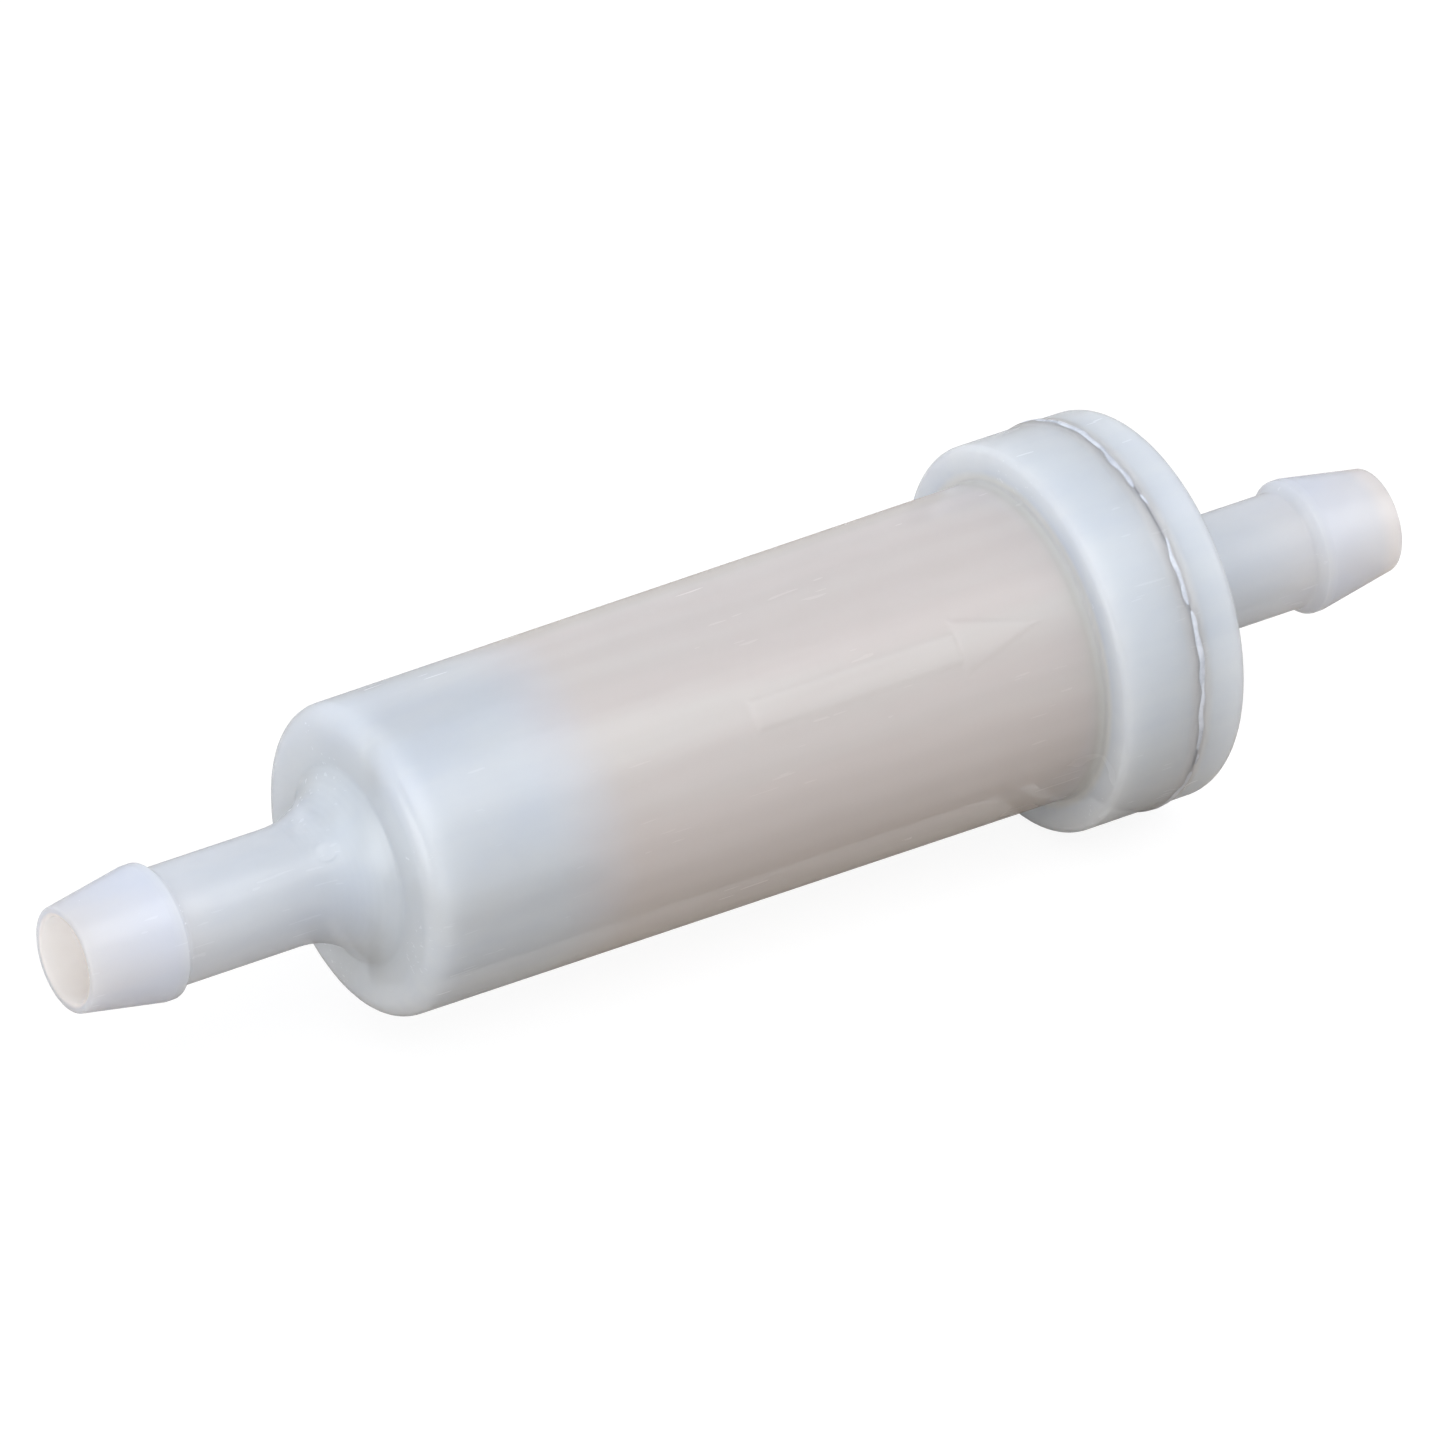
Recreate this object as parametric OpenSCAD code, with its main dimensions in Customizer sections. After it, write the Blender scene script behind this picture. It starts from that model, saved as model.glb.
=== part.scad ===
// In-line fuel filter for small engines.
// A round cup and an end cap are spin-welded together round a pleated paper element.
// The X axis is the fuel's path: X = 0 is the mouth of the inlet spigot, and fuel flows towards +X.
// Dirty fuel fills the cup, passes inwards through the pleats and leaves by the centre tube.

/* [Hose spigots] */
// Length of the inlet spigot, from its mouth to the shoulder
inlet_l = 17.7; // [14:0.1:24]
// Length of the outlet spigot, from the cap's face to its mouth
outlet_l = 15.6; // [14:0.1:24]
// Diameter of the fuel passage
bore_d = 4.8; // [3.6:0.1:5]
// Outside diameter at the very end of a spigot
tip_d = 5.9; // [5.5:0.1:6.2]
// Outside diameter of the plain stem, for a 6.35 mm hose
stem_d = 6.6; // [6.3:0.1:7]
// Outside diameter of the barb's crest
crest_d = 7.6; // [7.2:0.1:9.2]
// Length of the barb's lead-in cone
barb_lead_l = 4.9; // [3:0.1:6]
// Length of the barb's flat crest
barb_crest_l = 0.55; // [0.3:0.05:1]
// Length of the step from the crest back down to the stem
barb_back_l = 0.5; // [0.2:0.05:1]
// Length of the flare where a stem meets the housing
flare_l = 4.3; // [2:0.1:4.4]
// Radius of the flare's curve
flare_r = 5.2; // [5:0.1:8]

/* [Housing] */
// Outside diameter of the body beside the shoulder
body_d = 17.5; // [16.5:0.1:24]
// Length of the body, from the shoulder to the collar
body_l = 42.65; // [34:0.05:60]
// Draft angle of the body's side
body_draft = 0.35; // [0:0.05:0.6]
// Thickness of the body's wall
wall = 1.3; // [1.1:0.1:1.5]
// Thickness of the cup's floor and of the cap's end wall
end_wall = 1.5; // [1.2:0.1:1.7]
// Radius of the body's shoulder
shoulder_r = 1.2; // [0.8:0.1:2]

/* [Collar and cap] */
// Height of the collar above the body
collar_step = 2; // [1.8:0.1:3]
// Width of the collar on the cup
collar_w = 4.85; // [4.2:0.05:7]
// Width of the cap's flange
flange_w = 3.2; // [2.9:0.1:5]
// Radius of the collar's outer edge
collar_edge_r = 0.4; // [0.2:0.1:1]
// Radius of the flange's outer edge
flange_edge_r = 1; // [0.2:0.1:1.4]
// Height of the weld bead above the collar
bead_h = 0.2; // [0.1:0.05:0.4]
// Width of the weld bead
bead_w = 1.1; // [0.8:0.1:1.6]
// Radial clearance between the cap's skirt and the cup's socket
skirt_gap = 0.1; // [0.05:0.01:0.2]

/* [Filter element] */
// Gap between the element's end discs and the cup's wall
element_gap = 0.35; // [0.25:0.05:0.6]
// Distance from the cup's floor to the element
element_stand_off = 7.4; // [4:0.1:10]
// Number of pleats in the paper
pleats = 28; // [18:1:32]
// Thickness of the paper
paper_t = 0.22; // [0.15:0.01:0.25]
// Thickness of an end disc
disc_t = 1; // [0.8:0.1:1.4]
// Thickness of the adhesive that holds the pleats' ends
potting_t = 1; // [0.6:0.1:1.4]
// Thickness of the rim round an end disc
disc_rim_t = 0.3; // [0.2:0.05:0.4]
// Wall thickness of the perforated centre tube
tube_wall = 0.7; // [0.5:0.05:0.9]
// Diameter of a hole in the centre tube
tube_hole_d = 2; // [1:0.1:2.4]
// Number of rings of holes along the centre tube
tube_hole_rings = 9; // [3:1:10]
// Radial clearance between pieces of the element that slide together
fit_gap = 0.1; // [0.05:0.01:0.15]

/* [Seal and seat] */
// Thickness of the flat gasket behind the element
gasket_t = 1; // [0.8:0.1:1.5]
// Width of the gasket, from its hole to its rim
gasket_w = 2.5; // [1.5:0.1:3]
// Wall thickness of the seat's nozzle, which enters the element
nozzle_wall = 0.6; // [0.5:0.05:0.8]
// Number of locating ribs inside the cup
ribs = 4; // [3:1:6]
// Thickness of a locating rib
rib_t = 1; // [0.8:0.1:1.6]

/* [Flow arrow] */
// Distance from the shoulder to the arrow's tail
arrow_start = 21.3; // [10:0.1:22]
// Length of the arrow
arrow_l = 18.3; // [10:0.1:20]
// Length of the arrow's head
arrow_head_l = 5.2; // [2:0.1:6]
// Width of the arrow's head
arrow_head_w = 3; // [2:0.1:4]
// Width of the arrow's shaft
arrow_shaft_w = 1.7; // [0.6:0.1:1.8]
// Height of the arrow above the body
arrow_h = 0.12; // [0.08:0.02:0.3]
// Angle of the arrow above the horizontal, on the -Y side
arrow_angle = 40; // [0:1:90]

/* [Hidden] */
$fn = 96;

// Overlap that makes joined shapes one solid and makes cutters clear a face
skin = 0.05;

bore_r = bore_d / 2;
tip_r = tip_d / 2;
stem_r = stem_d / 2;
crest_r = crest_d / 2;
flare_rise = flare_r - sqrt(pow(flare_r, 2) - pow(flare_l, 2));

// Stations along the flow
shoulder_x = inlet_l;
collar_x = shoulder_x + body_l;
weld_x = collar_x + collar_w;
cap_face_x = weld_x + flange_w;
overall_l = cap_face_x + outlet_l;
floor_x = shoulder_x + end_wall;
seat_x = cap_face_x - end_wall;
element_x = floor_x + element_stand_off;
inlet_disc_x = element_x + disc_t;
paper_x = inlet_disc_x + potting_t;
gasket_x = seat_x - gasket_t;
outlet_disc_x = gasket_x - disc_t;
paper_end_x = outlet_disc_x - potting_t;
paper_l = paper_end_x - paper_x;

// Radii of the housing
function body_r(x) = body_d / 2 + (x - shoulder_x) * tan(body_draft);
function cavity_r(x) = body_r(x) - wall;
cavity_corner_r = shoulder_r / 2;
collar_r = body_r(collar_x) + collar_step;
socket_r = collar_r - wall - bead_h;
socket_x = collar_x + wall;
skirt_r = socket_r - skirt_gap;
skirt_x = socket_x + skirt_gap;
skirt_inner_r = cavity_r(collar_x);

// Radii of the element, from the nozzle outwards
nozzle_r = bore_r + nozzle_wall;
nozzle_l = gasket_t + disc_t - fit_gap;
seal_hole_r = nozzle_r + fit_gap;
tube_inner_r = seal_hole_r + fit_gap;
tube_r = tube_inner_r + tube_wall;
boss_r = tube_inner_r - fit_gap;
boss_l = potting_t * 1.5;
paper_inner_r = tube_r + fit_gap;
element_r = cavity_r(shoulder_x) - element_gap;
paper_r = element_r - disc_rim_t;

// Turns a section, drawn with X as radius and Y as distance along the flow, round the X axis
module revolve() {
    rotate([0, 90, 0])
        rotate_extrude()
            children();
}

// Extrudes an outline, drawn across the flow, from station x over a length
module along_flow(x, length) {
    translate([x, 0, 0])
        rotate([0, 90, 0])
            linear_extrude(height = length)
                children();
}

// A section's plain rectangle between two radii and two stations
module band(inner_r, outer_r, from_x, to_x) {
    translate([inner_r, from_x])
        square([outer_r - inner_r, to_x - from_x]);
}

// What a rounded edge removes from the corner of a square section
module edge_waste(radius) {
    difference() {
        square(radius + skin);
        circle(radius);
    }
}

// Waste of an outer edge whose solid lies on the outlet side of station x
module edge_facing_inlet(r, x, radius) {
    translate([r - radius, x + radius])
        mirror([0, 1])
            edge_waste(radius);
}

// Waste of an outer edge whose solid lies on the inlet side of station x
module edge_facing_outlet(r, x, radius) {
    translate([r - radius, x - radius])
        edge_waste(radius);
}

// Outline of a barbed spigot with its mouth at station 0, which grows into a wall at its length
module spigot_section(length) {
    crest_end = barb_lead_l + barb_crest_l;
    polygon([
        [bore_r, 0],
        [tip_r, 0],
        [crest_r, barb_lead_l],
        [crest_r, crest_end],
        [stem_r, crest_end + barb_back_l],
        [stem_r, length + skin],
        [bore_r, length + skin]
    ]);
    difference() {
        band(bore_r, stem_r + flare_rise, length - flare_l, length + skin);
        translate([stem_r + flare_r, length - flare_l])
            circle(flare_r);
    }
}

// Outside of the cup, without its spigot
module cup_outside() {
    difference() {
        polygon([
            [bore_r, shoulder_x],
            [body_r(shoulder_x), shoulder_x],
            [body_r(collar_x), collar_x],
            [collar_r, collar_x],
            [collar_r, weld_x],
            [bore_r, weld_x]
        ]);
        edge_facing_inlet(body_r(shoulder_x), shoulder_x, shoulder_r);
        edge_facing_inlet(collar_r, collar_x, collar_edge_r);
    }
}

// Hollow of the cup, with the socket for the cap's skirt
module cup_hollow() {
    difference() {
        polygon([
            [0, floor_x],
            [cavity_r(floor_x), floor_x],
            [cavity_r(socket_x), socket_x],
            [cavity_r(socket_x), weld_x + skin],
            [0, weld_x + skin]
        ]);
        edge_facing_inlet(cavity_r(floor_x), floor_x, cavity_corner_r);
    }
    band(0, socket_r, socket_x, weld_x + skin);
}

// One rib, which holds the element off the floor and keeps it central
module locating_rib() {
    step_r = element_r + fit_gap;
    root_r = cavity_r(floor_x) + wall / 3;
    rotate([90, 0, 0])
        linear_extrude(height = rib_t, center = true)
            polygon([
                [floor_x - skin, tube_r],
                [element_x, tube_r],
                [element_x, step_r],
                [paper_x, step_r],
                [paper_x, root_r],
                [floor_x - skin, root_r]
            ]);
}

// Raised arrow that shows the way the fuel flows
module flow_arrow() {
    tail_x = shoulder_x + arrow_start;
    neck_x = tail_x + arrow_l - arrow_head_l;
    tip_x = tail_x + arrow_l;
    intersection() {
        revolve()
            polygon([
                [body_r(tail_x) - skin, tail_x - skin],
                [body_r(tail_x) + arrow_h, tail_x - skin],
                [body_r(tip_x) + arrow_h, tip_x + skin],
                [body_r(tip_x) - skin, tip_x + skin]
            ]);
        rotate([90 - arrow_angle, 0, 0])
            linear_extrude(height = collar_r)
                polygon([
                    [tail_x, -arrow_shaft_w / 2],
                    [neck_x, -arrow_shaft_w / 2],
                    [neck_x, -arrow_head_w / 2],
                    [tip_x, 0],
                    [neck_x, arrow_head_w / 2],
                    [neck_x, arrow_shaft_w / 2],
                    [tail_x, arrow_shaft_w / 2]
                ]);
    }
}

// Cup with the inlet spigot, body and collar
module housing_cup() {
    color([0.87, 0.90, 0.94]) {
        revolve()
            union() {
                difference() {
                    cup_outside();
                    cup_hollow();
                }
                spigot_section(inlet_l);
            }
        for (i = [0 : ribs - 1])
            rotate([i * 360 / ribs, 0, 0])
                locating_rib();
        flow_arrow();
    }
}

// Ring of melted resin that the spin weld squeezes out over the joint
module bead_section() {
    bead_r = (pow(bead_w / 2, 2) + pow(bead_h, 2)) / (2 * bead_h);
    difference() {
        translate([collar_r + bead_h - bead_r, weld_x])
            circle(bead_r);
        band(0, collar_r, weld_x - bead_r - skin, weld_x);
    }
}

// Cap with the outlet spigot, the skirt that centres it in the cup and the element's seat
module end_cap() {
    color([0.84, 0.88, 0.93]) {
        revolve()
            union() {
                difference() {
                    union() {
                        band(bore_r, collar_r, weld_x, cap_face_x);
                        band(skirt_inner_r, skirt_r, skirt_x, weld_x + skin);
                    }
                    band(0, skirt_inner_r, skirt_x - skin, seat_x);
                    edge_facing_outlet(collar_r, cap_face_x, flange_edge_r);
                }
                bead_section();
                band(bore_r, nozzle_r, seat_x - nozzle_l, seat_x + skin);
            }
        translate([overall_l, 0, 0])
            mirror([1, 0, 0])
                revolve()
                    spigot_section(outlet_l);
    }
}

// Flat rubber ring between the element and the cap's seat
module seat_gasket() {
    color([0.15, 0.15, 0.15])
        revolve()
            band(seal_hole_r, seal_hole_r + gasket_w, gasket_x, seat_x);
}

// Pleat geometry: the outward folds are half_pitch from the inward folds
half_pitch = 180 / pleats;
fold_depth = 1.5 * paper_t;
outer_fold = 0.8 * paper_t / paper_r * 180 / PI;
inner_fold = 0.8 * paper_t / paper_inner_r * 180 / PI;

function polar(r, angle) = [r * cos(angle), r * sin(angle)];

// Points on the paper's outside for the pleat at a given angle
function outside_points(angle) = [
    polar(paper_r, angle - outer_fold),
    polar(paper_r, angle + outer_fold),
    polar(paper_inner_r + fold_depth, angle + half_pitch)
];

// Points on the paper's inside for the pleat at a given angle
function inside_points(angle) = [
    polar(paper_r - fold_depth, angle),
    polar(paper_inner_r, angle + half_pitch - inner_fold),
    polar(paper_inner_r, angle + half_pitch + inner_fold)
];

function pleat_angle(i) = 2 * half_pitch * i;

// Pleated paper, closed into a cylinder
module filter_paper() {
    color([0.86, 0.78, 0.66])
        along_flow(paper_x, paper_l)
            difference() {
                polygon([for (i = [0 : pleats - 1]) each outside_points(pleat_angle(i))]);
                polygon([for (i = [0 : pleats - 1]) each inside_points(pleat_angle(i))]);
            }
}

// Line of glue in one valley, where the two ends of the paper meet
module paper_seam_glue() {
    fill = 0.35;
    valley = outside_points(0)[2];
    left = outside_points(0)[1];
    right = outside_points(pleat_angle(1))[0];
    color([0.93, 0.87, 0.70])
        along_flow(paper_x, paper_l)
            polygon([
                valley,
                valley + fill * (left - valley),
                valley + fill * (right - valley)
            ]);
}

// Perforated tube that keeps the pleats from collapsing inwards
module centre_tube() {
    ring_pitch = paper_l / tube_hole_rings;
    color([0.90, 0.90, 0.88])
        difference() {
            revolve()
                band(tube_inner_r, tube_r, inlet_disc_x, outlet_disc_x);
            for (i = [0 : tube_hole_rings - 1], turn = [0, 90])
                translate([paper_x + (i + 0.5) * ring_pitch, 0, 0])
                    rotate([turn + 45 * (i % 2), 0, 0])
                        cylinder(h = 2 * tube_r + 2 * skin, d = tube_hole_d, center = true);
        }
}

// Closed disc at the inlet end, with a rim for the adhesive and a boss for the tube
module inlet_end_disc() {
    color([0.92, 0.90, 0.86])
        revolve()
            union() {
                band(0, element_r, element_x, inlet_disc_x);
                band(paper_r, element_r, inlet_disc_x - skin, paper_x);
                band(0, boss_r, inlet_disc_x - skin, inlet_disc_x + boss_l);
            }
}

// Open disc at the outlet end, with a rim for the adhesive and a hole for the nozzle
module outlet_end_disc() {
    color([0.92, 0.90, 0.86])
        revolve()
            union() {
                band(seal_hole_r, element_r, outlet_disc_x, gasket_x);
                band(paper_r, element_r, paper_end_x, outlet_disc_x + skin);
            }
}

// Adhesive ring between a disc and the ends of the pleats, starting at station x
module potting_ring(x) {
    color([0.80, 0.66, 0.45])
        revolve()
            band(tube_r, paper_r, x, x + potting_t);
}

module inlet_potting() {
    potting_ring(inlet_disc_x);
}

module outlet_potting() {
    potting_ring(paper_end_x);
}

housing_cup();
end_cap();
seat_gasket();
filter_paper();
paper_seam_glue();
centre_tube();
inlet_end_disc();
outlet_end_disc();
inlet_potting();
outlet_potting();
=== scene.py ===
"""In-line fuel filter: visual pieces, materials, light and camera.

Lengths are millimetres unless a name ends in _m, and the X axis is the fuel's path from the inlet.
"""
import math

import bpy
import numpy as np
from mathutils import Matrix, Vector


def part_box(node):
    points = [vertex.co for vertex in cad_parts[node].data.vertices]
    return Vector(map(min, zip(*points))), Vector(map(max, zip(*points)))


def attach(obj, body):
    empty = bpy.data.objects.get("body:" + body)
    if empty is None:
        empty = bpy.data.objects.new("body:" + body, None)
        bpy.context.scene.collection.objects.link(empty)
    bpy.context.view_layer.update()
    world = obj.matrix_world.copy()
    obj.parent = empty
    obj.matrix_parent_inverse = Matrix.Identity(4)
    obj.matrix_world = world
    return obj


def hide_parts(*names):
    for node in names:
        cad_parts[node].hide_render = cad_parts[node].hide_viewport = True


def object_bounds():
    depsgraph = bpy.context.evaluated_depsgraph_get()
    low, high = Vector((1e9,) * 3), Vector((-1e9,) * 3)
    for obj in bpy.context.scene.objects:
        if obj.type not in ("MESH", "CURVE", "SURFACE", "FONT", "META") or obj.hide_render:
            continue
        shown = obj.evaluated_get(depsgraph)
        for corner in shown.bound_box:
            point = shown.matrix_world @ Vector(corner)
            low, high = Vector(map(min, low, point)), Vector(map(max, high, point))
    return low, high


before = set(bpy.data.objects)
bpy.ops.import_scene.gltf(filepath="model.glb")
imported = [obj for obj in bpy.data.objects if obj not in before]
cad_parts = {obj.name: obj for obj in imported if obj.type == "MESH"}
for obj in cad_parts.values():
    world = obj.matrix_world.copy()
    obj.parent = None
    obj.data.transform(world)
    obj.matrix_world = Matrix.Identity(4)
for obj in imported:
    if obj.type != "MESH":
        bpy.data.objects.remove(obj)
cad_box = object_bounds()

MM = 0.001
TURN = 2 * math.pi


def span(node):
    """First and last station of a CAD node along the flow, and its outer radius, in mm."""
    low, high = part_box(node)
    return low[0] / MM, high[0] / MM, high[1] / MM


# ------------------------------------------------------------------ sizes

_, WELD_X, COLLAR_R = span("housing_cup")
SKIRT_X, OUTLET_END, BEAD_R = span("end_cap")
GASKET_X, SEAT_X, GASKET_R = span("seat_gasket")
PAPER_X, PAPER_END, PAPER_R = span("filter_paper")
INLET_DISC_X, BOSS_END, DISC_R = span("inlet_end_disc")
OUTLET_RIM_X, OUTLET_DISC_END, _ = span("outlet_end_disc")
_, _, TUBE_R = span("centre_tube")

DISC_T = 1.0

SHOULDER_X = 17.7
BODY_L = 42.65
FLANGE_W = 3.2
BODY_R = 8.75
DRAFT = math.radians(0.35)
WALL = 1.3
END_WALL = 1.5

BORE_R = 2.4
TIP_R = 2.95
STEM_R = 3.3
CREST_R = 3.8
BARB_LEAD = 4.9
BARB_CREST = 0.55
BARB_BACK = 0.5
FLARE_L = 4.3
FLARE_R = 5.2

FLOOR_X = SHOULDER_X + END_WALL
COLLAR_X = SHOULDER_X + BODY_L
CAP_FACE_X = WELD_X + FLANGE_W
BEAD_H = BEAD_R - COLLAR_R
BEAD_REACH = 0.825
BEAD_FULLNESS = 0.75
LAST_CHORD = 0.005
WELD_LINE_HALF_W = 0.22
WELD_LINE_BASE_R = COLLAR_R + BEAD_H * 0.45
WELD_LINE_R = COLLAR_R + BEAD_H * 0.88

SHOULDER_ROUND = 1.2
COLLAR_ROUND = 0.4
FLANGE_ROUND = 1.0

SOCKET_R = COLLAR_R - WALL - BEAD_H
SOCKET_X = COLLAR_X + WALL
SKIRT_R = SOCKET_R - 0.1
NOZZLE_R = BORE_R + 0.6
NOZZLE_X = SEAT_X - 1.9
SEAL_HOLE_R = NOZZLE_R + 0.1
BOSS_R = NOZZLE_R + 0.1

PLEATS = 28
PAPER_INNER_R = TUBE_R + 0.1
PAPER_T = 0.22

RIBS = 4
RIB_T = 1.0

ARROW_TAIL = SHOULDER_X + 21.3
ARROW_L = 18.3
ARROW_HEAD_L = 5.2
ARROW_HEAD_W = 3.0
ARROW_SHAFT_W = 1.7
ARROW_H = 0.07
ARROW_EDGE_W = 0.35
ARROW_SIDE = math.pi - math.radians(40)

GATE_X = 15.0
GATE_R = 0.7
GATE_H = 0.05
GATE_SIDE = math.pi - math.radians(54)


def body_r(x):
    """Outer radius of the drafted body at station x."""
    return BODY_R + (x - SHOULDER_X) * math.tan(DRAFT)


# ------------------------------------------------------------------ outlines


def corner_arc(before, here, after, radius):
    """Points of the circle of a given radius that touches both sides of a corner.

    The tangent points lie radius / tan(half the corner's angle) away from the corner, and the
    circle's centre lies radius / sin(half the angle) away on the bisector.
    """
    to_last = (before - here) / np.linalg.norm(before - here)
    to_next = (after - here) / np.linalg.norm(after - here)
    half = math.acos(np.clip(to_last @ to_next, -1, 1)) / 2
    middle = (to_last + to_next) / np.linalg.norm(to_last + to_next)
    centre = here + middle * radius / math.sin(half)
    start = here + to_last * radius / math.tan(half) - centre
    end = here + to_next * radius / math.tan(half) - centre
    first = math.atan2(start[1], start[0])
    sweep = (math.atan2(end[1], end[0]) - first + math.pi) % TURN - math.pi
    steps = max(3, round(3 + 6 * radius))
    angles = first + sweep * np.linspace(0, 1, steps + 1)
    return centre + radius * np.stack([np.cos(angles), np.sin(angles)], 1)


def rounded_outline(corners, closed=True, pitch=0.6):
    """Outline with rounded corners, as an array of (station, radius).

    A corner is (station, radius, rounding) or (station, radius, rounding, pitch), where the pitch
    is the longest chord allowed on the straight run that follows it.
    """
    places = np.array([c[:2] for c in corners], float)
    points, pitches = [], []
    for k, corner in enumerate(corners):
        end_point = not closed and k in (0, len(corners) - 1)
        if corner[2] > 0 and not end_point:
            arc = corner_arc(places[k - 1], places[k], places[(k + 1) % len(corners)], corner[2])
        else:
            arc = places[k : k + 1]
        points.append(arc)
        pitches += [pitch] * (len(arc) - 1) + [corner[3] if len(corner) > 3 else pitch]
    points = np.concatenate(points)
    after = np.roll(points, -1, axis=0)
    runs = []
    for a, b, step in zip(points, after, pitches):
        count = max(1, math.ceil(np.linalg.norm(b - a) / step))
        runs.append(a + (b - a) * np.arange(count)[:, None] / count)
    if not closed:
        runs[-1] = points[-1:]
    return np.concatenate(runs)


def spigot_corners(root_depth):
    """Outside of a barbed spigot from its mouth to the wall at root_depth, as outline corners.

    The stem ends in a flare, an arc of radius FLARE_R that leaves the stem tangentially:
    r = stem + FLARE_R - sqrt(FLARE_R^2 - d^2), where d is the distance into the flare.
    """
    crest_end = BARB_LEAD + BARB_CREST
    d = np.linspace(0, FLARE_L, 14)
    r = STEM_R + FLARE_R - np.sqrt(FLARE_R**2 - d**2)
    flare = [(root_depth - FLARE_L + u, v, 0, 0.14) for u, v in zip(d[:-1], r[:-1])]
    return [
        (0, TIP_R, 0.16),
        (BARB_LEAD, CREST_R, 0.3),
        (crest_end, CREST_R, 0.2),
        (crest_end + BARB_BACK, STEM_R, 0.35),
        *flare,
        (root_depth, r[-1], 0.5),
    ]


# ------------------------------------------------------------------ surfaces


def even_angles(count):
    return np.arange(count) * TURN / count


def smooth_step(value):
    """Smooth ramp 3v^2 - 2v^3 from 0 to 1."""
    v = np.clip(value, 0, 1)
    return v * v * (3 - 2 * v)


def grid_faces(rows, columns, closed_rows=True):
    """Quads of a grid whose columns close round, and whose rows close too if asked."""
    i, j = np.meshgrid(np.arange(rows if closed_rows else rows - 1), np.arange(columns), indexing="ij")
    down, right = (i + 1) % rows, (j + 1) % columns
    corners = [i * columns + j, down * columns + j, down * columns + right, i * columns + right]
    return np.stack(corners, -1).reshape(-1, 4)


def turned_ring(outline, angles, warp=None):
    """Closed outline turned round the X axis: (x, r) goes to (x, r cos a, r sin a).

    warp(x, r, a) may return moved stations and radii for the whole grid at once.
    """
    x = np.repeat(outline[:, :1], len(angles), axis=1)
    r = np.repeat(outline[:, 1:], len(angles), axis=1)
    a = np.repeat(angles[None, :], len(outline), axis=0)
    if warp is not None:
        x, r = warp(x, r, a)
    verts = np.stack([x, r * np.cos(a), r * np.sin(a)], -1).reshape(-1, 3)
    return verts, [grid_faces(len(outline), len(angles))]


def turned_disc(outline, count):
    """Open outline that starts and ends on the axis, turned round it, with a fan at each pole."""
    inner = outline[1:-1]
    verts, _ = turned_ring(inner, even_angles(count))
    quads = grid_faces(len(inner), count, closed_rows=False)
    poles = np.array([[outline[0, 0], 0, 0], [outline[-1, 0], 0, 0]])
    first, last = len(verts), len(verts) + 1
    j = np.arange(count)
    k = (j + 1) % count
    base = (len(inner) - 1) * count
    start_fan = np.stack([np.full(count, first), j, k], -1)
    end_fan = np.stack([np.full(count, last), base + k, base + j], -1)
    return np.concatenate([verts, poles]), [quads, start_fan, end_fan]


def joined(*parts):
    """Several closed surfaces as one: points are stacked and face numbers moved up."""
    verts, faces, offset = [], [], 0
    for part_verts, part_faces in parts:
        verts.append(part_verts)
        faces += [f + offset for f in part_faces]
        offset += len(part_verts)
    return np.concatenate(verts), faces


def faced_outwards(verts, faces):
    """Turns every face over if the volume they enclose is negative.

    The volume is a sixth of the sum of a . (b x c) over each face's fan of triangles.
    """
    volume = 0
    for f in faces:
        a = verts[f[:, 0]]
        for k in range(1, f.shape[1] - 1):
            volume += (a * np.cross(verts[f[:, k]], verts[f[:, k + 1]])).sum()
    return (verts, faces) if volume > 0 else (verts, [f[:, ::-1] for f in faces])


def add_piece(name, node, material, surface):
    """Mesh object made from a closed surface in mm, which stands for a CAD node."""
    verts, faces = faced_outwards(*surface)
    mesh = bpy.data.meshes.new(name)
    mesh.from_pydata((verts * MM).tolist(), [], [row for f in faces for row in f.tolist()])
    mesh.polygons.foreach_set("use_smooth", np.ones(len(mesh.polygons), bool))
    mesh.materials.append(material)
    mesh.update()
    piece = bpy.data.objects.new(name, mesh)
    bpy.context.collection.objects.link(piece)
    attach(piece, "root")
    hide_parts(node)
    return piece


# ------------------------------------------------------------------ housing


def round_distance(a, side, r):
    """Distance round the body from the line at angle side."""
    return ((a - side + math.pi) % TURN - math.pi) * r


def arrow_height(x, r, a):
    """Height of the raised flow arrow.

    u is the distance along the arrow and v the distance from its centre line. The distance to the
    arrow's edge is the lesser of the shaft's, a box, and the head's, a triangle, and a smooth ramp
    over that edge gives the height.
    """
    u, v = x - ARROW_TAIL, np.abs(round_distance(a, ARROW_SIDE, r))
    neck = ARROW_L - ARROW_HEAD_L
    shaft = np.maximum(np.maximum(-u, u - neck), v - ARROW_SHAFT_W / 2)
    slope = math.atan2(ARROW_HEAD_W / 2, ARROW_HEAD_L)
    head = np.maximum(neck - u, (u - ARROW_L) * math.sin(slope) + v * math.cos(slope))
    return ARROW_H * smooth_step(0.5 - np.minimum(shaft, head) / ARROW_EDGE_W)


def gate_height(x, r, a):
    """Height of the trimmed gate mark: a low round pad with a dimple in its middle."""
    off = np.hypot(x - GATE_X, round_distance(a, GATE_SIDE, r)) / GATE_R
    return GATE_H * (smooth_step((1 - off) * 4) - 0.8 * smooth_step(1 - off * 1.6))


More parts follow.
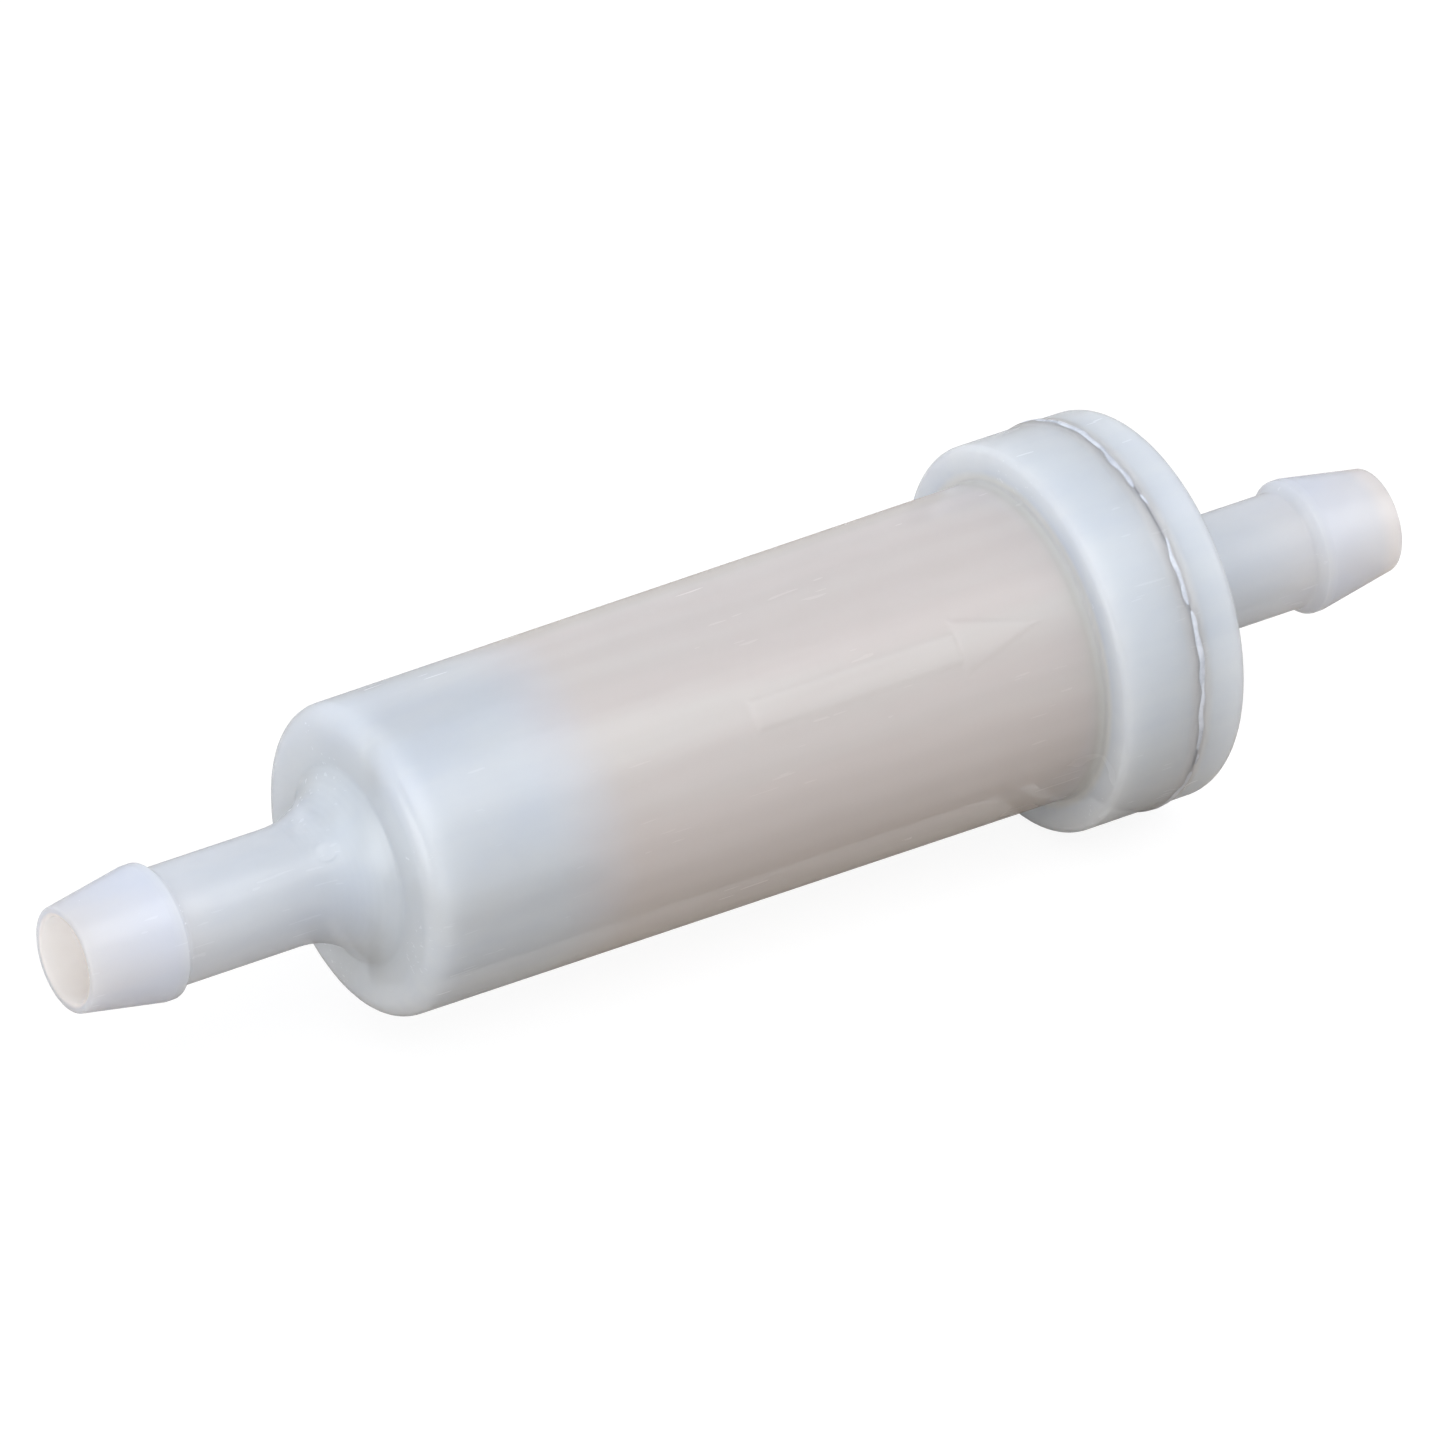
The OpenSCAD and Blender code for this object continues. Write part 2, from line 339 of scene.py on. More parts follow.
def bead_half(side):
    """Corners of half the weld bead, from its foot to its crest, on the inlet (-1) or outlet side.

    The bead is a mound that runs out smoothly: height (1 + cos(pi d / reach)) / 2 at distance d.
    A last short chord keeps the smooth shading off the hidden face of the joint.
    """
    d = np.append(np.linspace(BEAD_REACH, LAST_CHORD, 12), 0)
    rise = BEAD_H * (1 + np.cos(math.pi * d / BEAD_REACH)) / 2
    return [(WELD_X + side * u, COLLAR_R + v * BEAD_FULLNESS, 0, 0.12) for u, v in zip(d, rise)]


def bead_sag(r, a):
    """How far the squeezed-out bead falls short of its full height: slow waves round the joint."""
    waves = ((0.35, 3, 0.6), (0.25, 7, 2.1), (0.2, 17, 0), (0.2, 41, 1.3))
    wave = sum(size * np.sin(count * a + start) for size, count, start in waves)
    return np.clip((r - COLLAR_R) / BEAD_H, 0, 1) ** 2 * (wave - 1) * 0.03


def cup_warp(x, r, a):
    """Raises the arrow on the body and the gate mark on the flare, and lets the bead sag."""
    outside = r > np.where(x < SHOULDER_X, STEM_R - 0.1, BODY_R - 0.3)
    on_body = outside & (x > SHOULDER_X + 3) & (x < COLLAR_X - 1)
    on_flare = outside & (x > SHOULDER_X - FLARE_L - 1) & (x < SHOULDER_X - 0.5)
    r = r + np.where(on_body, arrow_height(x, r, a), 0) + bead_sag(r, a)
    return x, r + np.where(on_flare, gate_height(x, r, a), 0)


def cup_angles():
    """Angles round the cup: 0.7 degrees apart across the arrow and 2.2 degrees elsewhere."""
    half = math.radians(14)
    fine = np.linspace(-half, half, 41)
    coarse = np.linspace(half, TURN - half, 152)[1:-1]
    return np.concatenate([fine, coarse]) + ARROW_SIDE


def rib_block(index):
    """One locating rib inside the cup: a plate along the flow, stepped to hold the end disc.

    Its outline in the plane of the axis is swept across the rib's thickness, in four layers whose
    outline shrinks by the corner rounding at both faces.
    """
    root_r = body_r(FLOOR_X) - WALL * 2 / 3
    step_r = DISC_R + 0.1
    outline = np.array([
        [FLOOR_X - 0.05, TUBE_R],
        [INLET_DISC_X, TUBE_R],
        [INLET_DISC_X, step_r],
        [PAPER_X, step_r],
        [PAPER_X, root_r],
        [FLOOR_X - 0.05, root_r],
    ])
    middle = np.array([(FLOOR_X + INLET_DISC_X) / 2, (TUBE_R + root_r) / 2])
    rings = []
    for side, shrink in ((-0.5, 0.985), (-0.42, 1.0), (0.42, 1.0), (0.5, 0.985)):
        ring = middle + (outline - middle) * shrink
        rings.append(np.column_stack([ring[:, 0], np.full(6, side * RIB_T), ring[:, 1]]))
    verts = np.concatenate(rings)
    turn = index * TURN / RIBS
    y = verts[:, 1] * math.cos(turn) - verts[:, 2] * math.sin(turn)
    z = verts[:, 1] * math.sin(turn) + verts[:, 2] * math.cos(turn)
    verts = np.column_stack([verts[:, 0], y, z])
    caps = [
        np.array([[5, 4, 3, 2], [5, 2, 1, 0]]),
        np.array([[18, 19, 20, 23], [20, 21, 22, 23]]),
    ]
    return faced_outwards(verts, [grid_faces(4, 6, closed_rows=False), *caps])


def build_cup(material):
    """Spigot, body, collar and the bead's inlet half as one turned shell, with the ribs inside."""
    cavity_start = body_r(FLOOR_X) - WALL
    cavity_end = body_r(SOCKET_X) - WALL
    arrow_from, arrow_to = ARROW_TAIL - 0.5, ARROW_TAIL + ARROW_L + 0.5
    corners = spigot_corners(SHOULDER_X) + [
        (SHOULDER_X, BODY_R, SHOULDER_ROUND),
        (arrow_from, body_r(arrow_from), 0, 0.13),
        (arrow_to, body_r(arrow_to), 0),
        (COLLAR_X, body_r(COLLAR_X), 0.2),
        (COLLAR_X, COLLAR_R, COLLAR_ROUND),
        *bead_half(-1),
        (WELD_X, SOCKET_R, 0.08),
        (SOCKET_X, SOCKET_R, 0.1),
        (SOCKET_X, cavity_end, 0.1),
        (FLOOR_X, cavity_start, SHOULDER_ROUND / 2),
        (FLOOR_X, BORE_R, 0.3),
        (0, BORE_R, 0.2),
    ]
    shell = faced_outwards(*turned_ring(rounded_outline(corners), cup_angles(), cup_warp))
    surface = joined(shell, *[rib_block(k) for k in range(RIBS)])
    return add_piece("cup_shell", "housing_cup", material, surface)


def cap_warp(x, r, a):
    """Lets the cap's half of the bead sag as the cup's half does."""
    return x, r + bead_sag(r, a)


def build_cap(material):
    """Skirt, seat, flange, outlet spigot and the bead's outlet half as one turned shell."""
    skirt_inner = body_r(COLLAR_X) - WALL
    spigot = [(OUTLET_END - c[0], *c[1:]) for c in spigot_corners(OUTLET_END - CAP_FACE_X)]
    corners = [
        (NOZZLE_X, BORE_R, 0.1),
        (NOZZLE_X, NOZZLE_R, 0.15),
        (SEAT_X, NOZZLE_R, 0.15),
        (SEAT_X, skirt_inner, 0.3),
        (SKIRT_X, skirt_inner, 0.1),
        (SKIRT_X, SKIRT_R, 0.3),
        (WELD_X, SKIRT_R, 0),
        *reversed(bead_half(1)),
        (CAP_FACE_X, COLLAR_R, FLANGE_ROUND),
        *reversed(spigot),
        (OUTLET_END, BORE_R, 0.2),
    ]
    surface = turned_ring(rounded_outline(corners), even_angles(256), cap_warp)
    return add_piece("cap_shell", "end_cap", material, surface)


def build_weld_line(material):
    """Thin line of frozen flash on the bead's crest: a low ridge that wanders and sinks in places.

    Its height over its base is 1 - u^2, where u runs from -1 to 1 across it.
    """
    height = WELD_LINE_R - WELD_LINE_BASE_R

    def wander(x, r, a):
        slow = 0.5 * np.sin(5 * a + 0.4) + 0.3 * np.sin(13 * a + 2) + 0.2 * np.sin(47 * a)
        drift = 0.05 * np.sin(9 * a + 1) + 0.03 * np.sin(31 * a)
        share = np.clip((r - WELD_LINE_BASE_R) / height, 0, 1)
        return x + drift, r + share * (slow - 1) * 0.03

    across = np.linspace(-1, 1, 9)
    top = [
        (WELD_X + WELD_LINE_HALF_W * u, WELD_LINE_BASE_R + height * (1 - u * u), 0, 0.06)
        for u in across
    ]
    surface = turned_ring(rounded_outline(top), even_angles(360), wander)
    return add_piece("weld_line", "end_cap", material, surface)


# ------------------------------------------------------------------ element


def pleat_side(sign, count):
    """One face of the folded strip across the flow, as an array of (y, z).

    The mid-line's radius is a softened triangle wave, asin(k cos) / asin(k), which gives straight
    legs and round folds. Each face lies half the paper's thickness along the mid-line's normal.
    """
    turn = even_angles(count)
    sharpness = 0.985
    wave = np.arcsin(sharpness * np.cos(PLEATS * turn)) / math.asin(sharpness)
    outer, inner = PAPER_R - PAPER_T / 2, PAPER_INNER_R + PAPER_T / 2
    r = (outer + inner) / 2 + (outer - inner) / 2 * wave
    mid = np.stack([r * np.cos(turn - TURN / 4), r * np.sin(turn - TURN / 4)], -1)
    along = np.roll(mid, -1, axis=0) - np.roll(mid, 1, axis=0)
    along /= np.linalg.norm(along, axis=1, keepdims=True)
    return mid + sign * np.stack([along[:, 1], -along[:, 0]], -1) * PAPER_T / 2


def wandered(plane, x):
    """A section of the pleat pack, turned a little as the folds wander along the flow."""
    turn = 0.012 * math.sin(0.35 * x) + 0.008 * math.sin(0.9 * x + 1)
    c, s = math.cos(turn), math.sin(turn)
    y = plane[:, 0] * c - plane[:, 1] * s
    z = plane[:, 0] * s + plane[:, 1] * c
    return np.column_stack([np.full(len(plane), x), y, z])


def build_paper(material):
    """Folded strip swept along the flow: its outer face one way and its inner face back."""
    count = PLEATS * 22
    stations = np.linspace(PAPER_X, PAPER_END, 26)
    rings = [wandered(pleat_side(1, count), x) for x in stations]
    rings += [wandered(pleat_side(-1, count), x) for x in stations[::-1]]
    surface = np.concatenate(rings), [grid_faces(len(rings), count)]
    return add_piece("pleat_pack", "filter_paper", material, surface)


def build_seam_glue(material):
    """Glue in the valley where the strip's ends meet: a hollow-topped wedge swept along the flow."""
    valley = TURN / PLEATS / 2 - TURN / 4
    depth, half_w = 1.05, 0.21
    across = np.linspace(-1, 1, 9)
    top = np.column_stack([PAPER_INNER_R + PAPER_T + depth - 0.16 * (1 - across**2), across * half_w])
    bottom = np.array([[PAPER_INNER_R + PAPER_T + 0.12, 0.05], [PAPER_INNER_R + PAPER_T + 0.12, -0.05]])
    outline = np.concatenate([top, bottom])
    y = outline[:, 0] * math.cos(valley) - outline[:, 1] * math.sin(valley)
    z = outline[:, 0] * math.sin(valley) + outline[:, 1] * math.cos(valley)
    stations = np.linspace(PAPER_X, PAPER_END, 26)
    rings = [wandered(np.column_stack([y, z]), x) for x in stations]
    verts = np.concatenate(rings + [rings[0].mean(0)[None], rings[-1].mean(0)[None]])
    n, m = len(rings), len(outline)
    j = np.arange(m)
    k = (j + 1) % m
    start = np.stack([np.full(m, n * m), j, k], -1)
    end = np.stack([np.full(m, n * m + 1), (n - 1) * m + k, (n - 1) * m + j], -1)
    surface = verts, [grid_faces(n, m, closed_rows=False), start, end]
    return add_piece("seam_wedge", "paper_seam_glue", material, surface)


def build_inlet_disc(material):
    rim_r = DISC_R - 0.3
    corners = [
        (INLET_DISC_X, 0, 0),
        (INLET_DISC_X, DISC_R, 0.25),
        (PAPER_X, DISC_R, 0.1),
        (PAPER_X, rim_r, 0.1),
        (INLET_DISC_X + DISC_T, rim_r, 0.15),
        (INLET_DISC_X + DISC_T, BOSS_R, 0.2),
        (BOSS_END, BOSS_R, 0.3),
        (BOSS_END, 0, 0),
    ]
    surface = turned_disc(rounded_outline(corners, closed=False), 160)
    return add_piece("inlet_disc", "inlet_end_disc", material, surface)


def build_outlet_disc(material):
    rim_r = DISC_R - 0.3
    plate_x = OUTLET_DISC_END - DISC_T
    corners = [
        (plate_x, SEAL_HOLE_R, 0.15),
        (plate_x, rim_r, 0.15),
        (OUTLET_RIM_X, rim_r, 0.1),
        (OUTLET_RIM_X, DISC_R, 0.1),
        (OUTLET_DISC_END, DISC_R, 0.25),
        (OUTLET_DISC_END, SEAL_HOLE_R, 0.15),
    ]
    surface = turned_ring(rounded_outline(corners), even_angles(160))
    return add_piece("outlet_disc", "outlet_end_disc", material, surface)


def build_potting(name, node, material, disc_side, paper_side):
    """Adhesive ring whose paper side sinks in slow waves, as poured resin sets between pleats."""

    def settle(x, r, a):
        middle = (r - TUBE_R) * (PAPER_R - r) / ((PAPER_R - TUBE_R) / 2) ** 2
        sink = middle * (0.5 + 0.5 * np.cos(PLEATS * a)) * 0.12
        share = (x - disc_side) / (paper_side - disc_side)
        return x + (disc_side - paper_side) * np.clip(sink, 0, 1) * share, r

    corners = [
        (disc_side, TUBE_R, 0.05),
        (disc_side, PAPER_R, 0.05),
        (paper_side, PAPER_R, 0.1),
        (paper_side, TUBE_R, 0.1),
    ]
    surface = turned_ring(rounded_outline(corners, pitch=0.3), even_angles(PLEATS * 8), settle)
    return add_piece(name, node, material, surface)


def build_gasket(material):
    """Flat rubber ring with rounded edges."""
    corners = [
        (GASKET_X, SEAL_HOLE_R, 0.2),
        (GASKET_X, GASKET_R, 0.3),
        (SEAT_X, GASKET_R, 0.3),
        (SEAT_X, SEAL_HOLE_R, 0.2),
    ]
    surface = turned_ring(rounded_outline(corners, pitch=0.3), even_angles(160))
    return add_piece("seat_ring", "seat_gasket", material, surface)


# ------------------------------------------------------------------ shader helpers


def put(tree, kind, values=None, **settings):
    """Adds a node, sets its properties, and gives each named input a value or a link."""
    made = tree.nodes.new(kind)
    for key, value in settings.items():
        setattr(made, key, value)
    for key, value in (values or {}).items():
        if isinstance(value, bpy.types.NodeSocket):
            tree.links.new(value, made.inputs[key])
        else:
            made.inputs[key].default_value = value
    return made


def blended(tree, factor, first, second, mode="MIX"):
    """Colour output of a mix of two colours."""
    mix = put(tree, "ShaderNodeMix", {0: factor, 6: first, 7: second}, data_type="RGBA", blend_type=mode)
    return mix.outputs[2]


def ramped(tree, value, low, high, to_low=0.0, to_high=1.0):
    """Smooth ramp of a value from low to high, as a new value."""
    values = {"Value": value, "From Min": low, "From Max": high, "To Min": to_low, "To Max": to_high}
    return put(tree, "ShaderNodeMapRange", values, interpolation_type="SMOOTHSTEP").outputs[0]


def calculated(tree, operation, first, second=0.0):
    return put(tree, "ShaderNodeMath", {0: first, 1: second}, operation=operation).outputs[0]


def noise(tree, vector, scale, detail=2.0, rough=0.5, distortion=0.0):
    values = {"Vector": vector, "Scale": scale, "Detail": detail, "Roughness": rough}
    values["Distortion"] = distortion
    return put(tree, "ShaderNodeTexNoise", values).outputs["Fac"]


def stretched(tree, vector, scale):
    return put(tree, "ShaderNodeMapping", {"Vector": vector, "Scale": scale}).outputs[0]


def shader_group(name, inputs, outputs):
    """Empty node group with named inputs and outputs, its input node and its output node."""
    tree = bpy.data.node_groups.new(name, "ShaderNodeTree")
    for kind, label in inputs:
        tree.interface.new_socket(label, in_out="INPUT", socket_type=kind)
    for kind, label in outputs:
        tree.interface.new_socket(label, in_out="OUTPUT", socket_type=kind)
    return tree, tree.nodes.new("NodeGroupInput").outputs, tree.nodes.new("NodeGroupOutput")


def principled(name):
    """New material, its node tree, its Principled shader and its object coordinates."""
    material = bpy.data.materials.new(name)
    material.use_nodes = True
    tree = material.node_tree
    shader = tree.nodes["Principled BSDF"]
    return material, tree, shader, tree.nodes.new("ShaderNodeTexCoord").outputs["Object"]


def feed(tree, shader, name, socket):
    tree.links.new(socket, shader.inputs[name])


def axis_distance(tree, place):
    """Distance from the X axis."""
    parts = put(tree, "ShaderNodeSeparateXYZ", {0: place}).outputs
    across = put(tree, "ShaderNodeCombineXYZ", {"Y": parts["Y"], "Z": parts["Z"]}).outputs[0]
    return put(tree, "ShaderNodeVectorMath", {0: across}, operation="LENGTH").outputs["Value"]


def from_circle(tree, place, station, radius):
    """Distance from a circle round the X axis, whose station and radius are in mm."""
    along = put(tree, "ShaderNodeSeparateXYZ", {0: place}).outputs["X"]
    offset = put(tree, "ShaderNodeCombineXYZ", {
        "X": calculated(tree, "SUBTRACT", along, station * MM),
        "Y": calculated(tree, "SUBTRACT", axis_distance(tree, place), radius * MM),
    }).outputs[0]
    return put(tree, "ShaderNodeVectorMath", {0: offset}, operation="LENGTH").outputs["Value"]


def bumped(tree, shader, height, distance_m, strength=1.0):
    bump = put(tree, "ShaderNodeBump", {"Height": height, "Distance": distance_m, "Strength": strength})
    feed(tree, shader, "Normal", bump.outputs[0])


# ------------------------------------------------------------------ shared effects


def make_moulded_skin():
    """Surface of a glossy moulding.

    Colour clouds slowly between two tints along the flow of the resin. Roughness rises in the
    clouds and in fine handling scratches. Height is a soft orange peel with the scratches cut in.
    """
    colour, number, vector = "NodeSocketColor", "NodeSocketFloat", "NodeSocketVector"
    tree, given, result = shader_group(
        "moulded_skin",
        [(vector, "Vector"), (colour, "Clear"), (colour, "Cloudy"), (number, "Gloss roughness")],
        [(colour, "Colour"), (number, "Roughness"), (number, "Height")],
    )
    place = given["Vector"]
    clouds = noise(tree, stretched(tree, place, (0.45, 1, 1)), 170, 3, 0.5, 0.8)
    streaks = noise(tree, stretched(tree, place, (0.06, 1, 1)), 900, 2)
    mixed = calculated(tree, "MULTIPLY_ADD", clouds, 0.75)
    tree.links.new(calculated(tree, "MULTIPLY", streaks, 0.25), mixed.node.inputs[2])
    cloudiness = ramped(tree, mixed, 0.34, 0.66)
    tree.links.new(blended(tree, cloudiness, given["Clear"], given["Cloudy"]), result.inputs["Colour"])

    scratch_field = noise(tree, stretched(tree, place, (0.12, 1, 1.9)), 2600, 1)
    patches = ramped(tree, noise(tree, place, 210, 2), 0.5, 0.68)
    scratches = calculated(tree, "MULTIPLY", ramped(tree, scratch_field, 0.66, 0.72), patches)
    rougher = calculated(tree, "MULTIPLY_ADD", clouds, 0.10)
    tree.links.new(given["Gloss roughness"], rougher.node.inputs[2])
    worn = calculated(tree, "MULTIPLY_ADD", scratches, 0.06)
    tree.links.new(rougher, worn.node.inputs[2])
    tree.links.new(worn, result.inputs["Roughness"])

    peel = noise(tree, place, 420, 2, 0.4)
    carved = calculated(tree, "MULTIPLY_ADD", scratches, -0.004)
    tree.links.new(peel, carved.node.inputs[2])
    tree.links.new(carved, result.inputs["Height"])
    return tree


def moulded(tree, skin, place, clear, cloudy, roughness):
    """Places the moulded skin group in a material and returns its outputs."""
    made = put(tree, "ShaderNodeGroup", node_tree=skin)
    tree.links.new(place, made.inputs["Vector"])
    made.inputs["Clear"].default_value = (*clear, 1)
    made.inputs["Cloudy"].default_value = (*cloudy, 1)
    made.inputs["Gloss roughness"].default_value = roughness
    return made.outputs


def make_mouth_painted_glow():
    """Painted glow at a spigot's mouth: a warm, bright colour and an emission that stand in for daylight
    carried in the thin nylon.

    The mask is 1 in the bore and fades with depth behind the mouth. On the outside it starts at a
    given strength and fades over 1.8 mm. The glow is the same mask, painted as emission.
    The barb's outside is painted a cooler, darker tone, against the painted warm glow that shows through
    its wall.
    """
    colour, number, vector = "NodeSocketColor", "NodeSocketFloat", "NodeSocketVector"
    tree, given, result = shader_group(
        "mouth_painted_glow",
        [(vector, "Vector"), (colour, "Colour"), (number, "Mouth station"), (number, "Outside")],
        [(colour, "Colour"), (colour, "Glow")],
    )
    parts = put(tree, "ShaderNodeSeparateXYZ", {0: given["Vector"]}).outputs
    radius = axis_distance(tree, given["Vector"])
    depth = calculated(tree, "ABSOLUTE", calculated(tree, "SUBTRACT", parts["X"], given["Mouth station"]))
    inside = ramped(tree, radius, (BORE_R + 0.05) * MM, (BORE_R + 0.3) * MM, 1.0, 0.0)
    bore = calculated(tree, "MULTIPLY", inside, ramped(tree, depth, 4 * MM, 9 * MM, 1.0, 0.0))
    rim = calculated(tree, "MULTIPLY", ramped(tree, depth, 0.2 * MM, 1.8 * MM, 1.0, 0.0), given["Outside"])
    mask = calculated(tree, "MAXIMUM", bore, rim)
    # Painted shade: a cooler, darker tone on the barb's outside, which cancels the painted warm glow
    # bleeding through its wall.
    cooled = blended(tree, ramped(tree, depth, 4.6 * MM, 6.2 * MM, 0.8, 0.0), given["Colour"], BARB_GLOW_OFFSET)
    # Painted glow: warm, bright colour and emission in the bore and round the mouth's rim.
    tree.links.new(blended(tree, mask, cooled, MOUTH_GLOW_COLOUR), result.inputs["Colour"])
    tree.links.new(blended(tree, mask, (0, 0, 0, 1), MOUTH_GLOW_COLOUR), result.inputs["Glow"])
    return tree


def with_mouth_glow(tree, mouth, place, colour, station_m, outside):
    """Places the mouth's painted glow group in a material and returns its outputs."""
    made = put(tree, "ShaderNodeGroup", node_tree=mouth)
    tree.links.new(place, made.inputs["Vector"])
    tree.links.new(colour, made.inputs["Colour"])
    made.inputs["Mouth station"].default_value = station_m
    made.inputs["Outside"].default_value = outside
    return made.outputs


def make_weld_paling_and_light():
    """Paler nylon at the spin weld: partly the weld's own paler resin, partly painted light.

    A soft band 1.8 mm wide is centred on the joint, painted light that lifts the dark shading at the seam,
    with a thin broken line inside it, paler flash and a painted highlight along the weld.
    """
    colour, vector = "NodeSocketColor", "NodeSocketVector"
    tree, given, result = shader_group(
        "weld_paling_and_light", [(vector, "Vector"), (colour, "Colour")], [(colour, "Colour")]
    )
    parts = put(tree, "ShaderNodeSeparateXYZ", {0: given["Vector"]}).outputs
    off = calculated(tree, "ABSOLUTE", calculated(tree, "SUBTRACT", parts["X"], WELD_X * MM))
    # Painted light: a pale band that lifts the dark shading at the seam between the cup and the cap.
    band = ramped(tree, off, 0.05 * MM, 0.9 * MM, 0.75, 0.0)
    # Paler frozen flash and a painted highlight: a thin broken pale line along the weld.
    thin = ramped(tree, off, 0.06 * MM, 0.16 * MM, 1.0, 0.0)
    breaks = ramped(tree, noise(tree, given["Vector"], 380, 2), 0.44, 0.56)
    mask = calculated(tree, "MAXIMUM", band, calculated(tree, "MULTIPLY", thin, breaks))
    tree.links.new(blended(tree, mask, given["Colour"], (0.97, 0.98, 1.0, 1)), result.inputs["Colour"])
    return tree


def welded(tree, weld, place, colour):
    """Places the weld's paling and painted light group in a material and returns its colour."""
    made = put(tree, "ShaderNodeGroup", node_tree=weld)
    tree.links.new(place, made.inputs["Vector"])
    tree.links.new(colour, made.inputs["Colour"])
    return made.outputs["Colour"]


# ------------------------------------------------------------------ materials

MILK_CLEAR = (0.70, 0.77, 0.90)
MILK_CLOUDY = (0.755, 0.825, 0.92)
ROSE_SHADE_SIDE = math.radians(171)
FLASH_DULL = (0.54, 0.58, 0.65, 1)
FLASH_PALE = (0.68, 0.72, 0.79, 1)
BARB_GLOW_OFFSET = (0.63, 0.69, 0.90, 1)
ROOT_PAINTED_LIGHT = (0.80, 0.87, 1.0, 1)
CORNER_PAINTED_LIGHT = (0.95, 0.94, 0.86, 1)
MOUTH_GLOW_COLOUR = (1.0, 0.89, 0.80, 1)
CORE_PALE = (0.80, 0.755, 0.715, 1)
CORE_ROSE = (0.765, 0.69, 0.66, 1)
CORE_OLIVE = (0.74, 0.72, 0.61, 1)


def milky(shader, depth_m, alpha):
    """Settings of a milky, glossy, light-passing plastic, with the strength of its painted mouth glow."""
    shader.inputs["IOR"].default_value = 1.53
    shader.inputs["Subsurface Weight"].default_value = 1.0
    shader.inputs["Subsurface Radius"].default_value = (1.0, 1.0, 1.0)
    shader.inputs["Subsurface Scale"].default_value = depth_m
    shader.inputs["Alpha"].default_value = alpha
    # Emission strength of the painted glow at the spigot mouths.
    shader.inputs["Emission Strength"].default_value = 0.11


def make_cup_nylon(skin, mouth, weld):
    """Milky moulding with the filter element showing through the body's wall.

    The element's mask ramps up over its end disc with a drifting edge and stops at the collar. Its
    tone drifts in broad lengthwise streaks, with faint painted pleat shade: the sine of the pleat
    count times the angle round the axis darkens it a little along each fold. A painted warm shade
    darkens one side of the body below its middle. It turns olive where it meets the collar.
    Painted light lifts the shade in two hollows: round the spigot's root, where the flare meets the end
    wall, and in the crease where the body meets the collar.
    """
    material, tree, shader, place = principled("cup_nylon")
    surface = moulded(tree, skin, place, MILK_CLEAR, MILK_CLOUDY, 0.20)
    parts = put(tree, "ShaderNodeSeparateXYZ", {0: place}).outputs
    angle = calculated(tree, "ARCTAN2", parts["Z"], parts["Y"])
    wobble = calculated(tree, "MULTIPLY", noise(tree, place, 130, 2), 3.0)
    phase = calculated(tree, "MULTIPLY_ADD", angle, float(PLEATS))
    tree.links.new(wobble, phase.node.inputs[2])
    # Painted pleat shade: faint darkening that follows the folds of the pleats under the wall.
    pleat_shade = ramped(tree, calculated(tree, "SINE", phase), -1.0, 1.0, 0.975, 1.0)
    streaks = noise(tree, stretched(tree, place, (0.10, 1, 1)), 190, 3, 0.55, 0.4)
    # Painted shade: a warmer, darker line along one side of the body, below its middle; the streaks it
    # joins are the element's own tone.
    facing = calculated(tree, "COSINE", calculated(tree, "SUBTRACT", angle, ROSE_SHADE_SIDE))
    rose_painted_shade = ramped(tree, facing, 0.80, 0.98, 0.0, 0.55)
    streaks_and_rose_shade = calculated(tree, "SUBTRACT", ramped(tree, streaks, 0.36, 0.64), rose_painted_shade)
    shade = blended(tree, streaks_and_rose_shade, CORE_ROSE, CORE_PALE)
    near_collar = ramped(tree, parts["X"], (COLLAR_X - 1.4) * MM, (COLLAR_X - 0.1) * MM, 0.0, 0.6)
    shade = blended(tree, near_collar, shade, CORE_OLIVE)
    pleat_shaded = blended(tree, 1.0, shade, pleat_shade, "MULTIPLY")
    drift = calculated(tree, "MULTIPLY_ADD", noise(tree, place, 160, 2), -2.6 * MM)
    tree.links.new(parts["X"], drift.node.inputs[2])
    start = ramped(tree, drift, (INLET_DISC_X - 3.2) * MM, (PAPER_X + 1.2) * MM)
    stop = ramped(tree, parts["X"], (COLLAR_X - 0.25) * MM, (COLLAR_X + 0.05) * MM, 1.0, 0.0)
    mask = calculated(tree, "MULTIPLY", calculated(tree, "MULTIPLY", start, stop), 0.94)
    # Painted glow: warm colour and emission in the inlet's bore.
    mouth_glow = with_mouth_glow(tree, mouth, place, surface["Colour"], 0.0, 0.0)
    shell = welded(tree, weld, place, mouth_glow["Colour"])
    # Painted light: the hollow round the spigot's root is painted paler, against its shade.
    root = from_circle(tree, place, SHOULDER_X, STEM_R + FLARE_L / 2)
    shell = blended(tree, ramped(tree, root, 0.8 * MM, 2.8 * MM, 0.6, 0.0), shell, ROOT_PAINTED_LIGHT)
    # Painted light: the crease where the body meets the collar is painted pale, against its shade.
    corner = from_circle(tree, place, COLLAR_X, body_r(COLLAR_X))
    colour = blended(tree, mask, shell, pleat_shaded)
    colour = blended(tree, ramped(tree, corner, 0.15 * MM, 0.7 * MM, 0.85, 0.0), colour, CORNER_PAINTED_LIGHT)
    feed(tree, shader, "Base Color", colour)
    feed(tree, shader, "Roughness", surface["Roughness"])
    feed(tree, shader, "Emission Color", mouth_glow["Glow"])
    bumped(tree, shader, surface["Height"], 0.00002, 0.4)
    milky(shader, 0.004, 0.75)
    return material


